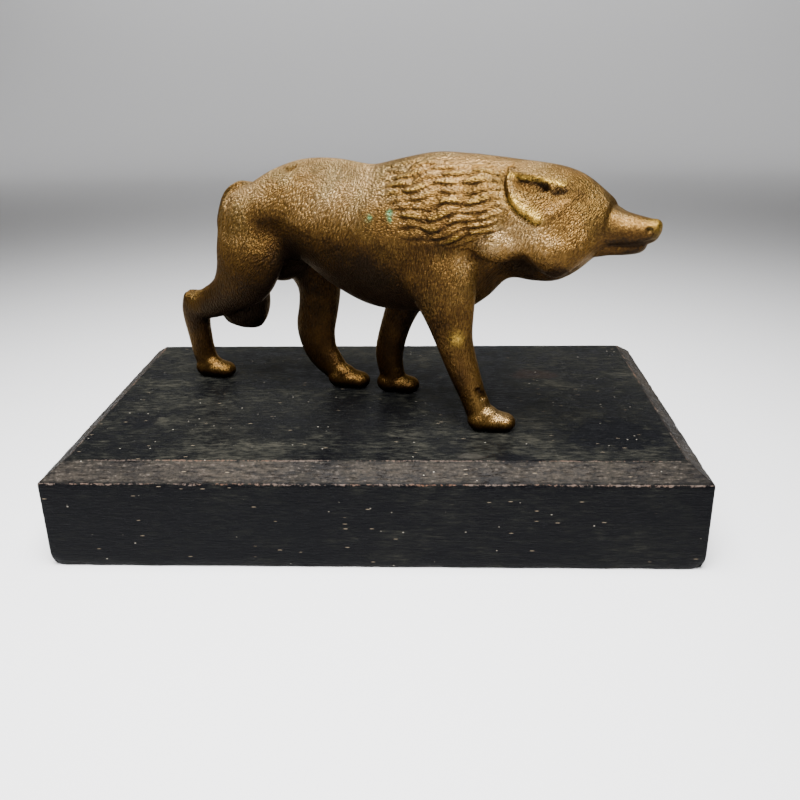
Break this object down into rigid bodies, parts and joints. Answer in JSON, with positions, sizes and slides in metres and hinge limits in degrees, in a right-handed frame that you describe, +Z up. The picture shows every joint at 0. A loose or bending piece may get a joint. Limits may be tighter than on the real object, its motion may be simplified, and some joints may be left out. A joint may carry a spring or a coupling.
{
  "type": "bronze wolf sculpture",
  "caption": "Bronze wolf stalking with its head low, a mane of carved locks and laid-back ears, on a black wooden base with bevelled upper edges.",
  "frame": {"origin": "centre of the base's underside", "axes": "+X along the base's length towards the wolf's head, +Y across the base away from the side that the wolf's right flank faces, +Z up"},
  "size_m": [0.2286, 0.1398, 0.1351],
  "materials": {
    "bronze": "brown patina, satin, rubbed bright on the ear rims and the nose",
    "wood": "black stain, satin, worn brown along the bevel and the edges"
  },
  "bodies": {
    "root": {"wolf": "bronze", "base": "wood"}
  },
  "joints": []
}
